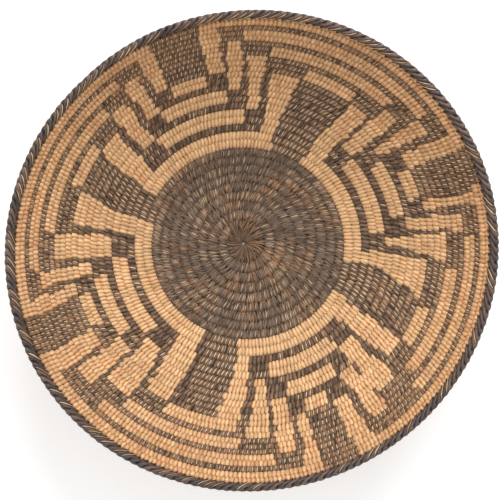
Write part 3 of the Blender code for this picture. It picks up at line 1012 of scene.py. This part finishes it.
class TRAY_OT_sew_knot(bpy.types.Operator):
    """Makes the knot's core and sews over it the long stitches that meet in its middle"""

    bl_idname = "tray.sew_knot"
    bl_label = "Sew the knot"

    def execute(self, context):
        shape, sewing, _, _ = settings(context)
        self.tie_core(shape)
        winding = Winding(shape)
        count = sewing.knot_stitches
        jitter = random_numbers(KNOT_DRAW, 7, count, 1)
        way, height = np.array(KNOT_PATH).T
        turn = (np.arange(count)[:, None] + jitter[0]) / count
        outer = turn + spread(KNOT_START, jitter[5])
        wall = outer + (PINHOLE_WALL - outer) * way
        lift = height * winding.pitch(wall) * spread(KNOT_HEIGHTS, jitter[1])
        around = FULL_TURN * turn + way * spread(KNOT_SWING, jitter[2])
        half_width = math.pi * np.abs(winding.radius(wall)) / count * spread(KNOT_WIDTH, jitter[3])
        half_width = np.maximum(half_width, KNOT_LEAST_WIDTH)
        crown = sewing.dark_crown * spread(KNOT_CROWN, jitter[4])
        crown = crown * np.minimum(1.0, half_width / KNOT_FULL_CROWN_WIDTH)
        tone = spread(KNOT_TONE, jitter[4, :, 0])
        aside = np.zeros_like(wall)
        warmth = KNOT_WARMTH * jitter[6, :, 0]
        mesh = lay_splints("knot_stitches", winding, around, wall, lift, aside, half_width, crown, tone,
                           warmth, depth_of(height))
        finish_piece(mesh, "dark splint", "dark_splint", "start_knot")
        return {"FINISHED"}

    def tie_core(self, shape):
        """The bent stems under the knot's stitches, a low ring round the pinhole."""
        middle = Vector((-shape.knot_left, shape.knot_up, shape.floor_share * shape.round_at_start))
        drawn = bmesh.new()
        section = [drawn.verts.new(middle + Vector((out * shape.knot_radius, 0.0, up * shape.round_at_start)))
                   for out, up in CORE_SECTION]
        sides = [drawn.edges.new((section[place - 1], section[place])) for place in range(len(section))]
        bmesh.ops.spin(drawn, geom=section + sides, cent=middle, axis=(0, 0, 1), angle=2 * math.pi,
                       steps=CORE_STEPS, use_merge=True)
        bmesh.ops.recalc_face_normals(drawn, faces=drawn.faces)
        finish_piece(as_mesh(drawn, "knot_core"), "bundle of stems", "dark_splint")


class TRAY_OT_sew_centre(bpy.types.Operator):
    """Sews the dark stitches of the base"""

    bl_idname = "tray.sew_centre"
    bl_label = "Sew the centre"

    def execute(self, context):
        sewing, winding, stitches = sewn(context)
        chosen = stitches[:, ROW] < 1
        width_share = spread(CENTRE_WIDTH, random_numbers(CENTRE_WIDTH_DRAW, len(stitches)))[chosen]
        mesh = sew_round("dark_centre_stitches", winding, stitches[chosen], CENTRE_DRAW,
                         sewing.dark_crown * CENTRE_CROWN, sewing.dark_lean, CENTRE_STRAY, width_share,
                         CENTRE_FULLNESS, CENTRE_WIDTHS)
        finish_piece(mesh, "centre splint", "dark_splint", "dark_centre_sewing")
        return {"FINISHED"}


class TRAY_OT_sew_fret(bpy.types.Operator):
    """Sews the dark stitches of the fret, a quarter at a time"""

    bl_idname = "tray.sew_fret"
    bl_label = "Sew the fret"

    def execute(self, context):
        sewing, winding, stitches = sewn(context)
        width_share = np.where(choose_slivers(winding, stitches), WIDTH_BESIDE_SLIVER, WIDTH_ALONE)
        for quarter in range(len(QUARTER_STARTS)):
            chosen = in_quarter(winding, stitches, quarter) & (stitches[:, PALE] < 0.5)
            mesh = sew_round(f"dark_stitches_quarter_{quarter + 1}", winding, stitches[chosen],
                             FRET_DRAW + quarter, sewing.dark_crown, sewing.dark_lean, FRET_STRAY,
                             width_share[chosen], FRET_FULLNESS)
            lines = [f"fret_line_{line}_quarter_{quarter + 1}" for line in (1, 2, 3)]
            finish_piece(mesh, "dark splint", "dark_splint", f"dark_petal_{quarter + 1}",
                         f"dark_rim_block_{quarter + 1}", *lines)
        return {"FINISHED"}


class TRAY_OT_sew_ground(bpy.types.Operator):
    """Sews the pale stitches between the dark lines, a quarter at a time"""

    bl_idname = "tray.sew_ground"
    bl_label = "Sew the pale ground"

    def execute(self, context):
        sewing, winding, stitches = sewn(context)
        for quarter in range(len(QUARTER_STARTS)):
            chosen = in_quarter(winding, stitches, quarter) & (stitches[:, PALE] > 0.5)
            mesh = sew_round(f"pale_stitches_quarter_{quarter + 1}", winding, stitches[chosen],
                             PALE_DRAW + quarter, sewing.pale_crown, sewing.pale_lean, PALE_STRAY,
                             np.full(chosen.sum(), PALE_WIDTH))
            finish_piece(mesh, "pale splint", "pale_splint")
        return {"FINISHED"}


class TRAY_OT_lay_slivers(bpy.types.Operator):
    """Lays the pale slivers that show between dark stitches"""

    bl_idname = "tray.lay_slivers"
    bl_label = "Lay the slivers"

    def execute(self, context):
        sewing, winding, stitches = sewn(context)
        chosen = stitches[choose_slivers(winding, stitches)]
        chosen[:, TURN] += chosen[:, SPACING] / 2 / (2 * math.pi * winding.radius(chosen[:, TURN]))
        chosen = chosen[chosen[:, TURN] < winding.last_turn]
        in_centre = chosen[:, ROW] < 1
        width_share = sewing.sliver_width / chosen[:, SPACING] * np.where(in_centre, CENTRE_SLIVER_WIDTH, 1.0)
        fullness = np.where(in_centre, CENTRE_SLIVER_FULLNESS, 1.0)
        mesh = sew_round("pale_slivers", winding, chosen, SLIVER_DRAW, sewing.dark_crown, sewing.sliver_lean,
                         SLIVER_STRAY, width_share, fullness, SLIVER_WIDTHS)
        finish_piece(mesh, "sliver", "pale_splint")
        return {"FINISHED"}


class TRAY_OT_braid_rim(bpy.types.Operator):
    """Braids the edge over the last round"""

    bl_idname = "tray.braid_rim"
    bl_label = "Braid the rim"

    def execute(self, context):
        shape, sewing, _, _ = settings(context)
        winding = Winding(shape)
        self.lay_core(winding)
        places = np.arange(sewing.braid_strands)
        mesh = self.lay_strands("rim_braid_strands", winding, sewing, places, STRAND_DRAW,
                                sewing.strand_width, STRAND_CROWN)
        finish_piece(mesh, "braid", "braid_splint", "rim_braid")
        angle = places / sewing.braid_strands * FULL_TURN + shape.start_angle
        chance = sewing.sliver_share * (1 + WORN_SIDE_SHARE * np.cos(np.radians(angle - WORN_SIDE)))
        between = places[random_numbers(BRAID_CHOICE_DRAW, len(places)) < chance] + 0.5
        mesh = self.lay_strands("rim_braid_slivers", winding, sewing, between, BRAID_SLIVER_DRAW,
                                sewing.braid_sliver_width, STRAND_CROWN / 2, BRAID_SLIVER_WIDTHS)
        finish_piece(mesh, "sliver", "pale_splint")
        return {"FINISHED"}

    def lay_core(self, winding):
        """The thin bundle that the strands are braided over, closed on itself."""
        drawn, share, roll = start_tube(BRAID_CORE_STEPS)
        turn = winding.last_turn - 1 + share
        half_height = winding.shape.braid_thickness / 2 * BRAID_CORE_SHARE
        _, inner = winding.edges(turn)
        seat = winding.rim_edge(turn)
        outer = seat + 2 * half_height / winding.pitch(seat)
        wall = (inner + outer) / 2 + (outer - inner) / 2 * np.cos(roll)
        places = winding.lay(FULL_TURN * share, wall, half_height * np.sin(roll))
        finish_piece(close_tube(drawn, places, "rim_braid_core"), "braid core", "braid_splint")

    def lay_strands(self, name, winding, sewing, places, draw, wide, crown, widths=None):
        """Strands over the edge, each at its place in the row of strands."""
        jitter = random_numbers(draw, 5, len(places), 1)
        turned, share, width, off = np.array(BRAID_PATH).T
        width = width if widths is None else np.array(widths)
        around = (places[:, None] + STRAND_SPREAD * (jitter[0] - 0.5)) / sewing.braid_strands * FULL_TURN
        seat = winding.rim_edge(winding.last_turn - 1 + (around / FULL_TURN) % 1.0)
        pitch = winding.pitch(seat)
        section = winding.shape.braid_thickness / 2
        ring = (section - crown) * off
        wall = seat + (SEAT_GAP + section + ring * np.cos(np.radians(turned))) / pitch
        lift = ring * np.sin(np.radians(turned)) + np.zeros_like(wall)
        aside = sewing.strand_reach * share * spread(STRAND_REACH, jitter[1])
        half_width = wide / 2 * spread(STRAND_WIDTH, jitter[2]) * width
        crown = crown * spread(STRAND_CROWNS, jitter[3]) * np.sqrt(width)
        tone = spread(STRAND_TONE, jitter[4, :, 0])
        return lay_splints(name, winding, around + np.zeros_like(wall), wall, lift, aside, half_width, crown,
                           tone, jitter[1, :, 0], 0.0)


class TRAY_OT_mix_finishes(bpy.types.Operator):
    """Mixes the finishes of the splints"""

    bl_idname = "tray.mix_finishes"
    bl_label = "Mix the finishes"

    def execute(self, context):
        _, _, colours, _ = settings(context)
        # edge_shade, valley_shade and pit_shade set how deep the painted shade is at the edges, in the
        # valleys and in the pits. valley_warmth sets how far the pits turn to the darker second colour, which
        # is also painted shade
        splint_finish("pale splint", colours.pale, colours.golden, streak_depth=0.3, edge_shade=0.04,
                      valley_shade=0.18, pit_shade=0.48, valley_warmth=0.6, roughness=0.66, specular=0.3)
        splint_finish("dark splint", colours.dark, colours.worn, streak_depth=0.95, edge_shade=0.08,
                      valley_shade=0.32, pit_shade=0.36, valley_warmth=0.0, roughness=0.7, specular=0.25)
        splint_finish("centre splint", colours.centre, colours.worn_centre, streak_depth=0.95,
                      edge_shade=0.08, valley_shade=0.58, pit_shade=0.4, valley_warmth=0.0, roughness=0.7,
                      specular=0.25)
        splint_finish("sliver", colours.sliver, colours.worn_sliver, streak_depth=0.4, edge_shade=0.1,
                      valley_shade=0.2, pit_shade=0.4, valley_warmth=0.2, roughness=0.65, specular=0.25)
        splint_finish("braid", colours.braid, colours.worn_braid, streak_depth=0.28, edge_shade=0.3,
                      valley_shade=0.0, pit_shade=0.0, valley_warmth=0.0, roughness=0.42, specular=0.5)
        bundle_finish("bundle of stems", colours.bundle, colours.fray)
        bundle_finish("braid core", colours.braid, colours.worn_braid)
        return {"FINISHED"}


class TRAY_OT_set_studio(bpy.types.Operator):
    """Sets the floor, the light and the camera"""

    bl_idname = "tray.set_studio"
    bl_label = "Set the studio"

    def execute(self, context):
        shape, _, _, studio = settings(context)
        scene = context.scene
        scene.view_settings.view_transform = "Standard"
        low, high = (Vector(corner) for corner in CAD_BOX)
        rim = Vector(((low.x + high.x) / 2, (low.y + high.y) / 2, high.z - shape.braid_thickness / 2))
        rim_radius = (high.x - low.x + high.y - low.y) / 4
        self.place_camera(scene, studio, rim, rim_radius)
        self.hang_lights(scene, rim)
        self.spread_floor(scene)
        self.light_world(scene, studio)
        return {"FINISHED"}

    def place_camera(self, scene, studio, rim, rim_radius):
        """The camera, placed by where the rim's middle and the foot of the axis lie in the picture."""
        depth = rim.z - KNOT_HIGH.z
        point_size = rim_radius / studio.rim_pixels
        focal_points = studio.camera_distance / point_size
        grown = point_size * (studio.camera_distance + depth) / studio.camera_distance / depth
        right = (studio.base_middle[0] - studio.rim_middle[0]) * grown
        up = -(studio.base_middle[1] - studio.rim_middle[1]) * grown
        towards = Vector((right, up, math.sqrt(1 - right * right - up * up)))
        top = (Vector((0, 1, 0)) - towards * towards.y).normalized()
        side = top.cross(towards)
        lens = bpy.data.cameras.new("tray_camera")
        lens.sensor_width = SENSOR_WIDTH
        lens.lens = focal_points * SENSOR_WIDTH / IMAGE_POINTS
        lens.shift_x = (IMAGE_POINTS / 2 - studio.rim_middle[0]) / IMAGE_POINTS
        lens.shift_y = (studio.rim_middle[1] - IMAGE_POINTS / 2) / IMAGE_POINTS
        lens.clip_end = FARTHEST_SEEN
        camera = bpy.data.objects.new("tray_camera", lens)
        turned = Matrix((side, top, towards)).transposed().to_4x4()
        camera.matrix_world = Matrix.Translation(rim + towards * studio.camera_distance) @ turned
        scene.collection.objects.link(camera)
        scene.camera = camera

    def hang_lights(self, scene, rim):
        """Soft round lights that face the middle of the rim."""
        for name, place, power, size in STUDIO_LIGHTS:
            lamp = bpy.data.lights.new(name, "AREA")
            lamp.shape = "DISK"
            lamp.size = size
            lamp.energy = power
            lit = bpy.data.objects.new(name, lamp)
            lit.location = place
            lit.rotation_euler = (rim - Vector(place)).to_track_quat("-Z", "Y").to_euler()
            scene.collection.objects.link(lit)

    def spread_floor(self, scene):
        """A wide floor just under the tray."""
        drawn = bmesh.new()
        bmesh.ops.create_grid(drawn, x_segments=1, y_segments=1, size=FLOOR_HALF_WIDTH)
        mesh = as_mesh(drawn, "floor")
        mesh.materials.append(floor_finish("pale floor"))
        floor = bpy.data.objects.new("floor", mesh)
        floor.location.z = -FLOOR_DROP
        scene.collection.objects.link(floor)

    def light_world(self, scene, studio):
        """White to the lens, and an even light from all round."""
        sky = Finish(bpy.data.worlds.new("studio"))
        soft = sky.node("ShaderNodeBackground", inputs={"Color": WHITE, "Strength": studio.world_strength})
        white = sky.node("ShaderNodeBackground", inputs={"Color": WHITE})
        mixed = sky.node("ShaderNodeMixShader", inputs={0: sky.plainly_seen(), 1: soft, 2: white})
        sky.node("ShaderNodeOutputWorld", inputs={"Surface": mixed})
        scene.world = sky.owner


STEPS = (
    TRAY_OT_mix_finishes,
    TRAY_OT_wind_bundle,
    TRAY_OT_sew_knot,
    TRAY_OT_sew_centre,
    TRAY_OT_sew_fret,
    TRAY_OT_sew_ground,
    TRAY_OT_lay_slivers,
    TRAY_OT_braid_rim,
    TRAY_OT_set_studio,
)


class TRAY_PT_panel(bpy.types.Panel):
    """The tray's steps and settings"""

    bl_idname = "TRAY_PT_panel"
    bl_label = "Coiled Tray"
    bl_space_type = "VIEW_3D"
    bl_region_type = "UI"
    bl_category = "Coiled Tray"

    def draw(self, context):
        for group in settings(context):
            box = self.layout.box()
            for name in group.bl_rna.properties.keys():
                if name not in ("rna_type", "name"):
                    box.prop(group, name)
        for step in STEPS:
            self.layout.operator(step.bl_idname)


GROUPS = {
    "tray_shape": TrayShape,
    "tray_sewing": TraySewing,
    "tray_colours": TrayColours,
    "tray_studio": TrayStudio,
}


def register():
    for group in GROUPS.values():
        bpy.utils.register_class(group)
    for name, group in GROUPS.items():
        setattr(bpy.types.Scene, name, bpy.props.PointerProperty(type=group))
    for step in STEPS:
        bpy.utils.register_class(step)
    bpy.utils.register_class(TRAY_PT_panel)


def unregister():
    bpy.utils.unregister_class(TRAY_PT_panel)
    for step in reversed(STEPS):
        bpy.utils.unregister_class(step)
    for name in GROUPS:
        delattr(bpy.types.Scene, name)
    for group in GROUPS.values():
        bpy.utils.unregister_class(group)


def main():
    """Makes the whole tray."""
    register()
    for step in STEPS:
        family, name = step.bl_idname.split(".")
        getattr(getattr(bpy.ops, family), name)()


if __name__ == "__main__":
    main()
